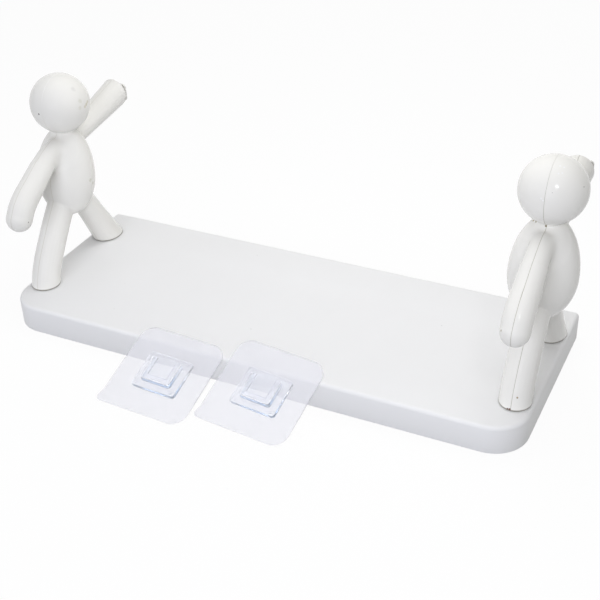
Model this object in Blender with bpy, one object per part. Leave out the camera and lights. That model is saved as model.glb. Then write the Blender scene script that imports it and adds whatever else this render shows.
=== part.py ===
"""Adhesive wall shelf: a moulded board carried by two ball-headed figures, and two stick-on hook pads.

Metres, +Z up.  X runs along the board and +Y points at the wall.  The origin is the centre of the
board's underside.  Each figure is two hollow half shells that meet on a parting plane across X, and its
raised hand ends in a flat T key that drops into the pocket of a pad's hook block.
"""
import math

import bmesh
import bpy
from mathutils import Matrix, Vector

# Board: a tray moulded open below
BOARD_LENGTH = 0.360
BOARD_DEPTH = 0.137
BOARD_HEIGHT = 0.019
BOARD_SKIRT_WALL = 0.0025
BOARD_TOP_WALL = 0.0025
BOARD_FRONT_RADIUS = 0.0225
BOARD_BACK_RADIUS = 0.0031
BOARD_EDGE_FILLET = 0.0025
RIB_WIDTH = 0.0016
RIB_BAYS = 4
BOARD_BOSS_RADIUS = 0.0055

# Screws that hold the feet from below
SCREW_HEAD_RADIUS = 0.0035
SCREW_HEAD_HEIGHT = 0.0025
SCREW_HEAD_CHAMFER = 0.0006
SCREW_HEAD_RECESS = 0.0062
SCREW_SHANK_RADIUS = 0.0016
SCREW_TIP_LENGTH = 0.0022
SCREW_TIP_RADIUS = 0.0003
SCREW_GRIP = 0.008
SCREW_CROSS_LENGTH = 0.0038
SCREW_CROSS_WIDTH = 0.0009
SCREW_CROSS_DEPTH = 0.0013
SCREW_HOLE_CLEARANCE = 0.0004

# Clearances
SEAT_GAP = 0.0003
PARTING_GAP = 0.0003
LAMINATE_GAP = 0.00015

# Figure: places are (y, z) from the board's centre line and the foot plane
FIGURE_INSET = 0.0118
FIGURE_WALL = 0.002
HEAD_RADIUS = 0.0201
HEAD_SINK = 0.0037
HEAD_FORWARD = 0.0011
TORSO_PLACE = (0.0010, 0.0651)
TORSO_LEAN = math.radians(10.6)
TORSO_HALF_WIDTH = 0.0208
TORSO_HALF_DEPTH = 0.0179
TORSO_BELOW = 0.0280
TORSO_ABOVE = 0.0360
NECK_BORE_RADIUS = 0.0055

# Limbs: places with the limb's radius there
FRONT_ARM = (
    (-0.0040, 0.0905, 0.0070),
    (-0.0146, 0.0863, 0.0077),
    (-0.0329, 0.0754, 0.0084),
    (-0.0484, 0.0649, 0.0088),
    (-0.0533, 0.0583, 0.0087),
)
RAISED_SHOULDER = (0.0083, 0.0878, 0.0072)
RAISED_HAND_HEIGHT = 0.1000
RAISED_HAND_RADIUS = 0.0100
RAISED_HAND_SETBACK = 0.0003
FRONT_LEG = (
    (-0.0083, 0.0494, 0.0094),
    (-0.0240, 0.0283, 0.0096),
    (-0.0360, 0.0085, 0.0098),
    (-0.0386, 0.0, 0.0099),
)
BACK_LEG = (
    (0.0089, 0.0500, 0.0084),
    (0.0222, 0.0268, 0.0090),
    (0.0374, 0.0, 0.0106),
)

# Foot bosses and the pegs that locate one half shell on the other
FOOT_BOSS_RADIUS = 0.0038
FOOT_BOSS_HEIGHT = 0.011
FOOT_BOSS_SHIFT = 0.002
PEG_RADIUS = 0.0015
PEG_REACH = 0.003
PEG_POST_RADIUS = 0.0030
SOCKET_POST_RADIUS = 0.0032

# T key on the raised hand, and the pocket of the hook block that takes it
KEY_STEM_WIDTH = 0.0100
KEY_STEM_LENGTH = 0.0016
KEY_WIDTH = 0.0178
KEY_HEIGHT = 0.0125
KEY_THICKNESS = 0.0016
KEY_CORNER = 0.0025
KEY_RISE = 0.0006
POCKET_SIDE_CLEARANCE = 0.0005
POCKET_HEAD_ROOM = 0.0030
POCKET_DEPTH_CLEARANCE = 0.0006
POCKET_LIP = 0.0025
POCKET_LIP_THICKNESS = 0.0012
POCKET_WALL = 0.0015
POCKET_SINK = 0.0002

# Stick-on pads
PAD_SIZE = 0.0615
PAD_CORNER_RADIUS = 0.010
PAD_TAB_RADIUS = 0.0026
PAD_TAB_FLARE = 0.0012
PAD_TAB_START = 0.0080
FILM_THICKNESS = 0.0005
ADHESIVE_THICKNESS = 0.0005
LINER_THICKNESS = 0.0002
ADHESIVE_INSET = 0.0004
BLOCK_WIDTH = 0.0315
BLOCK_HEIGHT = 0.0265
BLOCK_THICKNESS = 0.0024
BLOCK_CORNER_RADIUS = 0.0020
BLOCK_EDGE_FILLET = 0.0006
BLOCK_SHIFT = 0.0010
BLOCK_PLACE = 0.0295
POCKET_PLACE = 0.0292
TABLE_CLEARANCE = 0.0005

# Each pad leans on the board's front edge: place along the board, slope and turn in its own plane
PAD_LEANS = {
    "left": (-0.0438, math.radians(19.5), math.radians(-2.9)),
    "right": (0.0210, math.radians(22.2), math.radians(-5.1)),
}

# Facets
LIMB_SEGMENTS = 16
LIMB_STEPS = 2
HOLLOW_STEPS = 1
PEG_SEGMENTS = 8
DOME_STEPS = 3
DOME_BLUNTNESS = 0.3
BALL_SEGMENTS = 20
BALL_RINGS = 11
HOLLOW_SEGMENTS = 12
HOLLOW_RINGS = 7
ROUND_SEGMENTS = 12
CORNER_STEPS = 6
FILLET_STEPS = 3
REACH = 0.4
WELD_DISTANCE = 0.000004

FOOT_PLANE = BOARD_HEIGHT + SEAT_GAP
BACK_PLANE = BOARD_DEPTH / 2
HAND_PLANE = BACK_PLANE - RAISED_HAND_SETBACK
FIGURE_X = BOARD_LENGTH / 2 - FIGURE_INSET
TORSO_TOP = (
    TORSO_PLACE[0] + TORSO_ABOVE * math.sin(TORSO_LEAN),
    TORSO_PLACE[1] + TORSO_ABOVE * math.cos(TORSO_LEAN),
)
HEAD_PLACE = (TORSO_TOP[0] - HEAD_FORWARD, TORSO_TOP[1] + HEAD_RADIUS - HEAD_SINK)
FEET = {
    "front": FRONT_LEG[-1][0] + FOOT_BOSS_SHIFT,
    "back": BACK_LEG[-1][0] - FOOT_BOSS_SHIFT,
}

WHITE_GLOSS = ("white_gloss", (0.86, 0.86, 0.84, 1.0), 0.28, 0.0)
WHITE_SATIN = ("white_satin", (0.88, 0.88, 0.87, 1.0), 0.50, 0.0)
CLEAR_FILM = ("clear_film", (0.88, 0.89, 0.95, 0.35), 0.15, 0.0)
CLEAR_BLOCK = ("clear_block", (0.80, 0.82, 0.92, 0.45), 0.08, 0.0)
CLEAR_GEL = ("clear_gel", (0.90, 0.91, 0.96, 0.40), 0.30, 0.0)
LINER = ("liner", (0.92, 0.92, 0.96, 0.50), 0.40, 0.0)
STEEL = ("screw_steel", (0.62, 0.62, 0.63, 1.0), 0.35, 1.0)


def clear_scene():
    for old in list(bpy.data.objects):
        bpy.data.objects.remove(old, do_unlink=True)


def material(finish):
    """A Principled material from a finish: name, colour with alpha, roughness and metallic value."""
    name, colour, roughness, metallic = finish
    found = bpy.data.materials.get(name)
    if found:
        return found
    made = bpy.data.materials.new(name)
    made.use_nodes = True
    shader = made.node_tree.nodes["Principled BSDF"]
    shader.inputs["Base Color"].default_value = colour
    shader.inputs["Roughness"].default_value = roughness
    shader.inputs["Metallic"].default_value = metallic
    shader.inputs["Alpha"].default_value = colour[3]
    return made


def finish_part(part, finish, sharp_angle=math.radians(32)):
    """Give a part its one material and smooth shading that breaks at its edges."""
    part.data.materials.clear()
    part.data.materials.append(material(finish))
    part.data.shade_smooth()
    part.data.set_sharp_from_angle(angle=sharp_angle)
    return part


def add_object(name, construction):
    """Turn a bmesh into an object with its faces pointing out."""
    bmesh.ops.recalc_face_normals(construction, faces=construction.faces)
    mesh = bpy.data.meshes.new(name)
    construction.to_mesh(mesh)
    construction.free()
    part = bpy.data.objects.new(name, mesh)
    bpy.context.scene.collection.objects.link(part)
    return part


def weld(body):
    """Merge the points that a cut leaves within a few microns of each other."""
    construction = bmesh.new()
    construction.from_mesh(body.data)
    bmesh.ops.remove_doubles(construction, verts=construction.verts, dist=WELD_DISTANCE)
    bmesh.ops.dissolve_degenerate(construction, edges=construction.edges, dist=WELD_DISTANCE)
    construction.to_mesh(body.data)
    construction.free()


def combine(body, tools, operation):
    """Apply one exact Boolean to the body with all its tools at once, and remove them."""
    together = bpy.data.collections.new("tools")
    for tool in tools:
        together.objects.link(tool)
    modifier = body.modifiers.new(operation.lower(), "BOOLEAN")
    modifier.operation = operation
    modifier.operand_type = "COLLECTION"
    modifier.collection = together
    modifier.solver = "EXACT"
    depsgraph = bpy.context.evaluated_depsgraph_get()
    result = bpy.data.meshes.new_from_object(body.evaluated_get(depsgraph))
    body.modifiers.clear()
    before = body.data
    body.data = result
    bpy.data.meshes.remove(before)
    for tool in tools:
        used = tool.data
        bpy.data.objects.remove(tool, do_unlink=True)
        bpy.data.meshes.remove(used)
    bpy.data.collections.remove(together)
    weld(body)
    return body


def unite(body, *tools):
    return combine(body, tools, "UNION")


def cut(body, *tools):
    return combine(body, tools, "DIFFERENCE")


def keep_side(body, x, side):
    """Cut a closed body at a plane across X, keep the side asked for and close it."""
    construction = bmesh.new()
    construction.from_mesh(body.data)
    everything = construction.verts[:] + construction.edges[:] + construction.faces[:]
    bmesh.ops.bisect_plane(
        construction, geom=everything, dist=WELD_DISTANCE,
        plane_co=(x, 0.0, 0.0), plane_no=(side, 0.0, 0.0), clear_inner=True)
    rim = [edge for edge in construction.edges if edge.is_boundary]
    bmesh.ops.triangle_fill(construction, use_beauty=True, edges=rim)
    bmesh.ops.recalc_face_normals(construction, faces=construction.faces)
    construction.to_mesh(body.data)
    construction.free()
    return body


def box(name, low, high):
    construction = bmesh.new()
    size = [top - bottom for bottom, top in zip(low, high)]
    middle = [(top + bottom) / 2 for bottom, top in zip(low, high)]
    place = Matrix.Translation(middle) @ Matrix.Diagonal((*size, 1.0))
    bmesh.ops.create_cube(construction, size=1.0, matrix=place)
    return add_object(name, construction)


def cylinder(name, radius, start, end, segments=ROUND_SEGMENTS):
    """A cylinder between two points."""
    start = Vector(start)
    along = Vector(end) - start
    turn = along.to_track_quat("Z", "Y").to_matrix().to_4x4()
    place = Matrix.Translation(start + along / 2) @ turn
    construction = bmesh.new()
    bmesh.ops.create_cone(
        construction, cap_ends=True, segments=segments,
        radius1=radius, radius2=radius, depth=along.length, matrix=place)
    return add_object(name, construction)


def loft(name, rings):
    """Skin rings of equal point count and cap both ends."""
    construction = bmesh.new()
    loops = [[construction.verts.new(point) for point in ring] for ring in rings]
    count = len(loops[0])
    for lower, upper in zip(loops, loops[1:]):
        for index in range(count):
            following = (index + 1) % count
            construction.faces.new((lower[index], lower[following], upper[following], upper[index]))
    construction.faces.new(list(reversed(loops[0])))
    construction.faces.new(loops[-1])
    return add_object(name, construction)


def turned(name, profile, segments=ROUND_SEGMENTS):
    """Turn a profile of (radius, z) about Z."""
    rings = []
    for radius, height in profile:
        ring = []
        for index in range(segments):
            angle = 2 * math.pi * index / segments
            ring.append(Vector((radius * math.cos(angle), radius * math.sin(angle), height)))
        rings.append(ring)
    return loft(name, rings)


def ball(name, segments, rings, width, depth, below, above):
    """A ball with its poles along Z and its own lengths below and above its widest ring."""
    construction = bmesh.new()
    half_segment = Matrix.Rotation(math.pi / segments, 4, "Z")
    bmesh.ops.create_uvsphere(
        construction, u_segments=segments, v_segments=rings, radius=1.0, matrix=half_segment)
    for vertex in construction.verts:
        length = above if vertex.co.z > 0 else below
        vertex.co = Vector((vertex.co.x * width, vertex.co.y * depth, vertex.co.z * length))
    return add_object(name, construction)


def place_mesh(part, matrix):
    part.data.transform(matrix)
    return part


def rounded_outline(width, depth, radii, inset=0.0):
    """Points round a rectangle, from its front left corner, with one radius a corner."""
    corners = ((-1, -1), (1, -1), (1, 1), (-1, 1))
    points = []
    for number, ((side_x, side_y), radius) in enumerate(zip(corners, radii)):
        least = SEAT_GAP
        bend = max(radius - inset, least)
        centre_x = side_x * (width / 2 - inset - bend)
        centre_y = side_y * (depth / 2 - inset - bend)
        first = math.pi + number * math.pi / 2
        for step in range(CORNER_STEPS + 1):
            angle = first + step / CORNER_STEPS * math.pi / 2
            points.append((centre_x + bend * math.cos(angle), centre_y + bend * math.sin(angle)))
    return points


def slab(name, width, depth, radii, low, high, fillet=0.0):
    """An upright slab with rounded corners and, where asked, a filleted top edge."""
    levels = [(low, 0.0), (high - fillet, 0.0)]
    if fillet > 0:
        for step in range(1, FILLET_STEPS + 1):
            angle = step / FILLET_STEPS * math.pi / 2
            levels.append((high - fillet * (1 - math.sin(angle)), fillet * (1 - math.cos(angle))))
    rings = []
    for height, inset in levels:
        outline = rounded_outline(width, depth, radii, inset)
        rings.append([Vector((x, y, height)) for x, y in outline])
    return loft(name, rings)


def smooth_route(route, steps):
    """Points on a smooth curve through a limb's route, with the radius carried along."""
    stations = [Vector(station) for station in route]
    stations.insert(0, 2 * stations[0] - stations[1])
    stations.append(2 * stations[-1] - stations[-2])
    points = []
    for index in range(1, len(stations) - 2):
        before, start, end, after = stations[index - 1:index + 3]
        for step in range(steps):
            share = step / steps
            points.append(0.5 * (
                2 * start + (end - before) * share
                + (2 * before - 5 * start + 4 * end - after) * share ** 2
                + (3 * start - before - 3 * end + after) * share ** 3))
    points.append(stations[-2])
    return points


def limb_ring(centre, along, radius, segments):
    """A ring square to a direction that lies in the parting plane."""
    across = Vector((0.0, -along.z, along.y))
    ring = []
    for index in range(segments):
        angle = 2 * math.pi * (index + 0.5) / segments
        ring.append(centre + Vector((radius * math.cos(angle), 0, 0)) + across * radius * math.sin(angle))
    return ring


def limb(name, route, facets, shrink=0.0, domed=False, end_plane=None):
    """A tapered round limb along its route, thinner by shrink all round.

    Its facets are the segments round it and the steps between two places of its route.
    Its end is domed if asked, or cut flat on end_plane: the plane's axis (1 for Y, 2 for Z) and place.
    """
    segments, steps = facets
    stations = smooth_route(route, steps)
    rings = []
    for index, station in enumerate(stations):
        following = stations[min(index + 1, len(stations) - 1)]
        previous = stations[max(index - 1, 0)]
        along = Vector((0.0, following.x - previous.x, following.y - previous.y)).normalized()
        centre = Vector((0.0, station.x, station.y))
        radius = station.z - shrink
        rings.append(limb_ring(centre, along, radius, segments))
    if domed:
        for step in range(1, DOME_STEPS + 1):
            angle = step / (DOME_STEPS + DOME_BLUNTNESS) * math.pi / 2
            tip = centre + along * radius * math.sin(angle)
            rings.append(limb_ring(tip, along, radius * math.cos(angle), segments))
    if end_plane:
        axis, place = end_plane
        rings[-1] = [point + along * (place - point[axis]) / along[axis] for point in rings[-1]]
    return loft(name, rings)


def place_torso(torso):
    """Lean the torso to the wall and set its widest ring in place."""
    lean = Matrix.Rotation(-TORSO_LEAN, 4, "X")
    return place_mesh(torso, Matrix.Translation((0.0, *TORSO_PLACE)) @ lean)


def place_head(head):
    """Lay the head's poles across the parting plane."""
    return place_mesh(head, Matrix.Translation((0.0, *HEAD_PLACE)) @ Matrix.Rotation(math.pi / 2, 4, "Y"))


def limbs(facets, shrink=0.0):
    """The four limbs, thinner by shrink, with the hand and the feet cut flat on their planes."""
    hand = (HAND_PLANE, RAISED_HAND_HEIGHT, RAISED_HAND_RADIUS)
    wall = (1, HAND_PLANE - shrink)
    floor = (2, shrink)
    return (
        limb("front_arm", FRONT_ARM, facets, shrink, domed=True),
        limb("raised_arm", (RAISED_SHOULDER, hand), facets, shrink, end_plane=wall),
        limb("front_leg", FRONT_LEG, facets, shrink, end_plane=floor),
        limb("back_leg", BACK_LEG, facets, shrink, end_plane=floor),
    )


def figure_outside(name):
    """The whole figure as one solid, with flat feet, a flat hand end and the T key."""
    torso = place_torso(ball(
        name, BALL_SEGMENTS, BALL_RINGS,
        TORSO_HALF_WIDTH, TORSO_HALF_DEPTH, TORSO_BELOW, TORSO_ABOVE))
    head = place_head(ball("head", BALL_SEGMENTS, BALL_RINGS, *[HEAD_RADIUS] * 4))
    return unite(torso, head, *limbs((LIMB_SEGMENTS, LIMB_STEPS)), *hand_key())


def hand_key():
    """The T key: a stem behind the hand and a wider plate with rounded corners."""
    half = KEY_STEM_WIDTH / 2
    root = HAND_PLANE - FIGURE_WALL / 2
    neck = HAND_PLANE + KEY_STEM_LENGTH
    middle = RAISED_HAND_HEIGHT + KEY_RISE
    low = middle - KEY_HEIGHT / 2 + KEY_CORNER
    high = middle + KEY_HEIGHT / 2 - KEY_CORNER
    stem = box("hand_key", (-half, root, low), (half, neck + KEY_THICKNESS / 2, high))
    plate = slab("plate", KEY_WIDTH, KEY_HEIGHT, [KEY_CORNER] * 4, neck, neck + KEY_THICKNESS)
    stand = Matrix.Translation((0.0, 0.0, middle)) @ Matrix.Rotation(-math.pi / 2, 4, "X")
    return stem, place_mesh(plate, stand)


def figure_hollows():
    """The spaces inside the shells: the same forms, one wall smaller, and a bore through the neck."""
    wall = FIGURE_WALL
    torso = place_torso(ball(
        "hollow", HOLLOW_SEGMENTS, HOLLOW_RINGS, TORSO_HALF_WIDTH - wall,
        TORSO_HALF_DEPTH - wall, TORSO_BELOW - wall, TORSO_ABOVE - wall))
    head = place_head(ball("head", HOLLOW_SEGMENTS, HOLLOW_RINGS, *[HEAD_RADIUS - wall] * 4))
    neck = cylinder("neck", NECK_BORE_RADIUS, (0.0, *TORSO_PLACE), (0.0, *HEAD_PLACE))
    return (torso, head, neck, *limbs((HOLLOW_SEGMENTS, HOLLOW_STEPS), wall))


def foot_cylinders(radius, low, high):
    """Upright cylinders on both feet's screw axes."""
    return [cylinder("foot_boss", radius, (0.0, y, low), (0.0, y, high)) for y in FEET.values()]


def peg_places():
    """Where the halves locate on each other: (y, z, half thickness of the figure there)."""
    return (
        (*HEAD_PLACE, HEAD_RADIUS),
        (*TORSO_PLACE, TORSO_HALF_WIDTH),
        FRONT_ARM[-1],
        ((RAISED_SHOULDER[0] + HAND_PLANE) / 2,
         (RAISED_SHOULDER[1] + RAISED_HAND_HEIGHT) / 2,
         (RAISED_SHOULDER[2] + RAISED_HAND_RADIUS) / 2),
    )


def outer_half(name):
    """The half away from the board's middle: it carries both screw bosses and the locating pegs."""
    shell = keep_side(figure_outside(name), PARTING_GAP / 2, 1)
    cut(shell, *figure_hollows())
    posts = []
    pegs = []
    for y, z, half in peg_places():
        root = half - FIGURE_WALL / 2
        meet = (PARTING_GAP / 2, y, z)
        posts.append(cylinder("post", PEG_POST_RADIUS, (root, y, z), meet, PEG_SEGMENTS))
        pegs.append(cylinder("peg", PEG_RADIUS, (root / 2, y, z), (-PEG_REACH, y, z), PEG_SEGMENTS))
    unite(shell, *posts, *foot_cylinders(FOOT_BOSS_RADIUS, FIGURE_WALL / 2, FOOT_BOSS_HEIGHT))
    unite(shell, *pegs)
    pilot_top = SCREW_GRIP + 2 * SEAT_GAP
    return cut(shell, *foot_cylinders(SCREW_SHANK_RADIUS + SEAT_GAP, -FIGURE_WALL, pilot_top))


def inner_half(name):
    """The half towards the board's middle: its floors clear the bosses and its posts take the pegs."""
    shell = keep_side(figure_outside(name), -PARTING_GAP / 2, -1)
    notches = foot_cylinders(FOOT_BOSS_RADIUS + SEAT_GAP, -FIGURE_WALL, 2 * FIGURE_WALL)
    cut(shell, *figure_hollows(), *notches)
    posts = []
    bores = []
    for y, z, half in peg_places():
        root = half - FIGURE_WALL / 2
        bore_end = -PEG_REACH - 2 * SEAT_GAP
        meet = (-PARTING_GAP / 2, y, z)
        bore = PEG_RADIUS + SEAT_GAP
        posts.append(cylinder("post", SOCKET_POST_RADIUS, (-root, y, z), meet, PEG_SEGMENTS))
        bores.append(cylinder("bore", bore, (bore_end, y, z), (PEG_REACH, y, z), PEG_SEGMENTS))
    unite(shell, *posts)
    return cut(shell, *bores)


def mirrored(name, part):
    """A copy of a part handed the other way across X."""
    mesh = part.data.copy()
    mesh.transform(Matrix.Scale(-1.0, 4, (1.0, 0.0, 0.0)))
    mesh.flip_normals()
    copy = bpy.data.objects.new(name, mesh)
    bpy.context.scene.collection.objects.link(copy)
    return copy


def anchor(name, matrix):
    """An empty that carries the pieces of one group."""
    empty = bpy.data.objects.new(name, None)
    empty.matrix_world = matrix
    bpy.context.scene.collection.objects.link(empty)
    return empty


def build_figures():
    outer = outer_half("right_figure_outer_half")
    inner = inner_half("right_figure_inner_half")
    halves = {
        "right": (outer, inner),
        "left": (mirrored("left_figure_outer_half", outer), mirrored("left_figure_inner_half", inner)),
    }
    for side, sign in (("left", -1), ("right", 1)):
        base = anchor(side + "_figure", Matrix.Translation((sign * FIGURE_X, 0.0, FOOT_PLANE)))
        for half in halves[side]:
            half.parent = base
            finish_part(half, WHITE_GLOSS)


def cavity():
    """The tray's hollow, one wall inside its outline, less the ribs that stay across it."""
    wall = BOARD_SKIRT_WALL
    inside_length = BOARD_LENGTH - 2 * wall
    inside_depth = BOARD_DEPTH - 2 * wall
    front = BOARD_FRONT_RADIUS - wall
    back = BOARD_BACK_RADIUS - wall
    top = BOARD_HEIGHT - BOARD_TOP_WALL
    space = slab("cavity", inside_length, inside_depth, (front, front, back, back), -top, top)
    half = RIB_WIDTH / 2
    ribs = [box("rib", (-REACH, -half, -REACH), (REACH, half, REACH))]
    for bay in range(1, RIB_BAYS):
        x = (bay / RIB_BAYS - 0.5) * inside_length
        ribs.append(box("rib", (x - half, -REACH, -REACH), (x + half, REACH, REACH)))
    return cut(space, *ribs)


def screw_axes():
    """Name, x and y of each foot screw."""
    return [
        (side + "_" + foot, sign * FIGURE_X, y)
        for side, sign in (("left", -1), ("right", 1))
        for foot, y in FEET.items()]


def build_board():
    front = BOARD_FRONT_RADIUS
    back = BOARD_BACK_RADIUS
    board = slab(
        "shelf_board", BOARD_LENGTH, BOARD_DEPTH, (front, front, back, back),
        0.0, BOARD_HEIGHT, BOARD_EDGE_FILLET)
    cut(board, cavity())
    boss_bottom = SCREW_HEAD_RECESS + SCREW_HEAD_HEIGHT + SEAT_GAP
    boss_root = BOARD_HEIGHT - BOARD_TOP_WALL / 2
    hole_radius = SCREW_SHANK_RADIUS + SCREW_HOLE_CLEARANCE
    bosses = []
    holes = []
    for _, x, y in screw_axes():
        bosses.append(cylinder("boss", BOARD_BOSS_RADIUS, (x, y, boss_bottom), (x, y, boss_root)))
        holes.append(cylinder("hole", hole_radius, (x, y, -BOARD_HEIGHT), (x, y, 2 * BOARD_HEIGHT)))
    unite(board, *bosses)
    cut(board, *holes)
    return finish_part(board, WHITE_SATIN)


def build_screws():
    """Pan-head screws with a cross recess, driven up through the board into the feet."""
    head_top = SCREW_HEAD_RECESS + SCREW_HEAD_HEIGHT
    tip = FOOT_PLANE + SCREW_GRIP
    profile = (
        (SCREW_HEAD_RADIUS - 2 * SCREW_HEAD_CHAMFER, SCREW_HEAD_RECESS),
        (SCREW_HEAD_RADIUS, SCREW_HEAD_RECESS + SCREW_HEAD_CHAMFER),
        (SCREW_HEAD_RADIUS, head_top),
        (SCREW_SHANK_RADIUS, head_top),
        (SCREW_SHANK_RADIUS, tip - SCREW_TIP_LENGTH),
        (SCREW_TIP_RADIUS, tip),
    )
    screw = turned("foot_screw", profile)
    half_length = SCREW_CROSS_LENGTH / 2
    half_width = SCREW_CROSS_WIDTH / 2
    slot_top = SCREW_HEAD_RECESS + SCREW_CROSS_DEPTH
    cross = box("slot", (-half_length, -half_width, 0.0), (half_length, half_width, slot_top))
    unite(cross, box("slot", (-half_width, -half_length, 0.0), (half_width, half_length, slot_top)))
    cut(screw, cross)
    finish_part(screw, STEEL)
    for name, x, y in screw_axes():
        copy = bpy.data.objects.new(name + "_foot_screw", screw.data)
        copy.location = (x, y, 0.0)
        bpy.context.scene.collection.objects.link(copy)
    bpy.data.objects.remove(screw, do_unlink=True)


def pad_outline(inset):
    """The pad's outline from its lower edge, with a flared peel tab at the lower left corner."""
    radius = PAD_CORNER_RADIUS
    radii = (PAD_TAB_RADIUS, radius, radius, radius)
    outline = rounded_outline(PAD_SIZE, PAD_SIZE, radii, inset)
    tab = [
        (x - PAD_TAB_FLARE, y) if index <= CORNER_STEPS else (x, y)
        for index, (x, y) in enumerate(outline)]
    edge = inset - PAD_SIZE / 2
    tab.append((edge, PAD_TAB_START - PAD_SIZE / 2))
    return [(x, y + PAD_SIZE / 2) for x, y in tab]


def sheet(name, inset, low, thickness):
    """One layer of a pad."""
    outline = pad_outline(inset)
    heights = (low, low + thickness)
    return loft(name, [[Vector((x, y, height)) for x, y in outline] for height in heights])


def hook_block(name):
    """The moulded block: a bevelled base under a pocket with side and bottom lips, open at its top edge."""
    low = FILM_THICKNESS + LAMINATE_GAP
    base_top = low + BLOCK_THICKNESS
    radius = BLOCK_CORNER_RADIUS
    block = slab(
        name, BLOCK_WIDTH, BLOCK_HEIGHT, [radius] * 4, low, base_top, BLOCK_EDGE_FILLET)
    inside_width = KEY_WIDTH + 2 * POCKET_SIDE_CLEARANCE
    inside_height = KEY_HEIGHT + POCKET_HEAD_ROOM
    inside_depth = KEY_THICKNESS + POCKET_DEPTH_CLEARANCE
    frame_width = inside_width + 2 * POCKET_WALL
    frame_height = inside_height + POCKET_WALL
    ceiling = base_top + inside_depth
    top = ceiling + POCKET_LIP_THICKNESS
    frame = slab(
        "frame", frame_width, frame_height, [radius, radius, radius / 2, radius / 2],
        low + BLOCK_THICKNESS / 2, top, BLOCK_EDGE_FILLET)
    shift = POCKET_PLACE - BLOCK_PLACE
    unite(block, place_mesh(frame, Matrix.Translation((0.0, shift, 0.0))))
    half = inside_width / 2
    bottom = shift - frame_height / 2 + POCKET_WALL
    past = shift + frame_height / 2 + POCKET_WALL
    room = box("room", (-half, bottom, base_top - POCKET_SINK), (half, past, ceiling))
    mouth = box(
        "mouth", (POCKET_LIP - half, bottom + POCKET_LIP, base_top + inside_depth / 2),
        (half - POCKET_LIP, past, top + POCKET_WALL))
    cut(block, room, mouth)
    return place_mesh(block, Matrix.Translation((BLOCK_SHIFT, BLOCK_PLACE, 0.0)))


def pad_pose(x, slope, turn):
    """A pad's place: its layers lie on the board's front edge and its lowest corner is at the table."""
    rotation = Matrix.Rotation(slope, 4, "X") @ Matrix.Rotation(turn, 4, "Z")
    normal = rotation.to_3x3() @ Vector((0.0, 0.0, 1.0))
    below = 2 * LAMINATE_GAP + ADHESIVE_THICKNESS + LINER_THICKNESS
    under = [rotation @ Vector((px, py, -below)) for px, py in pad_outline(0.0)]
    z = TABLE_CLEARANCE - min(point.z for point in under)
    edge = Vector((x, BOARD_EDGE_FILLET - BACK_PLANE, BOARD_HEIGHT - BOARD_EDGE_FILLET))
    standoff = BOARD_EDGE_FILLET + SEAT_GAP + below
    y = edge.y + (standoff + (edge.z - z) * normal.z) / normal.y
    return Matrix.Translation((x, y, z)) @ rotation


def build_pads():
    """Both pads, top layer first: hook block, film, adhesive and the liner that peels off it."""
    adhesive_low = -LAMINATE_GAP - ADHESIVE_THICKNESS
    liner_low = adhesive_low - LAMINATE_GAP - LINER_THICKNESS
    for side, lean in PAD_LEANS.items():
        pad = anchor(side + "_pad", pad_pose(*lean))
        layers = (
            (hook_block(side + "_hook_block"), CLEAR_BLOCK),
            (sheet(side + "_pad_film", 0.0, 0.0, FILM_THICKNESS), CLEAR_FILM),
            (sheet(side + "_pad_adhesive", ADHESIVE_INSET, adhesive_low, ADHESIVE_THICKNESS), CLEAR_GEL),
            (sheet(side + "_pad_liner", 0.0, liner_low, LINER_THICKNESS), LINER),
        )
        for layer, finish in layers:
            layer.parent = pad
            finish_part(layer, finish)


def main():
    clear_scene()
    build_board()
    build_figures()
    build_screws()
    build_pads()


main()
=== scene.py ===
import math

import bmesh
import bpy
from bpy.props import FloatProperty, FloatVectorProperty, IntProperty, PointerProperty
from mathutils import Matrix, Vector


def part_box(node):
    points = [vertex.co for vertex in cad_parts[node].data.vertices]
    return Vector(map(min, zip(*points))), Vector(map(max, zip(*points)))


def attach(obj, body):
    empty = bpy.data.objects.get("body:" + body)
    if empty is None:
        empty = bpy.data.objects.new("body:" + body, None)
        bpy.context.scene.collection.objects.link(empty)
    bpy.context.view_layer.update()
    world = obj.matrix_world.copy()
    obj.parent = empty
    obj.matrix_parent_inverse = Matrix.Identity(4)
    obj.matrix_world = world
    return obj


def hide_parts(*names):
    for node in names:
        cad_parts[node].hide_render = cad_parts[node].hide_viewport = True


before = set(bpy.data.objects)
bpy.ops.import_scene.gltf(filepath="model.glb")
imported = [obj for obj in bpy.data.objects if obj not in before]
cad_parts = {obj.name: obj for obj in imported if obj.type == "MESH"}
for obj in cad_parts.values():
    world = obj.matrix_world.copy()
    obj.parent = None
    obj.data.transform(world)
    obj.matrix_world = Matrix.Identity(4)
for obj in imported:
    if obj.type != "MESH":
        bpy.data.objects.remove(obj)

bl_info = {
    "name": "Adhesive Wall Shelf",
    "version": (1, 0, 0),
    "blender": (4, 5, 0),
    "location": "3D View > Sidebar > Wall Shelf",
    "description": "Models a moulded shelf on two ball-headed figures, with its clear stick-on hook pads",
    "category": "Object",
}

BOARD_LOW, BOARD_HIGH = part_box("shelf_board")
SCREWS = [side + "_" + foot + "_foot_screw" for side in ("left", "right") for foot in ("front", "back")]
# the four corners of a flat shape, from the front left round
CORNERS = ((-1, -1), (1, -1), (1, 1), (-1, 1))
# points this near are one point, and heights this near are one height
TOUCHING = 0.00001
LEVEL = 0.000001
# how finely corners, fillets, bevels, round bars, balls and limbs are divided
CORNER_STEPS = 14
KEY_CORNER_STEPS = 8
BLOCK_CORNER_STEPS = 6
FILLET_STEPS = 6
BEVEL_STEPS = 2
BAR_SIDES = 48
BALL_SIDES = 96
BALL_RINGS = 48
LIMB_STEPS = 16
LIMB_RINGS = 10


def screw_place(name):
    """The axis of a foot screw, from its CAD node."""
    low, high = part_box(name)
    return ((low[0] + high[0]) / 2, (low[1] + high[1]) / 2)


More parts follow.
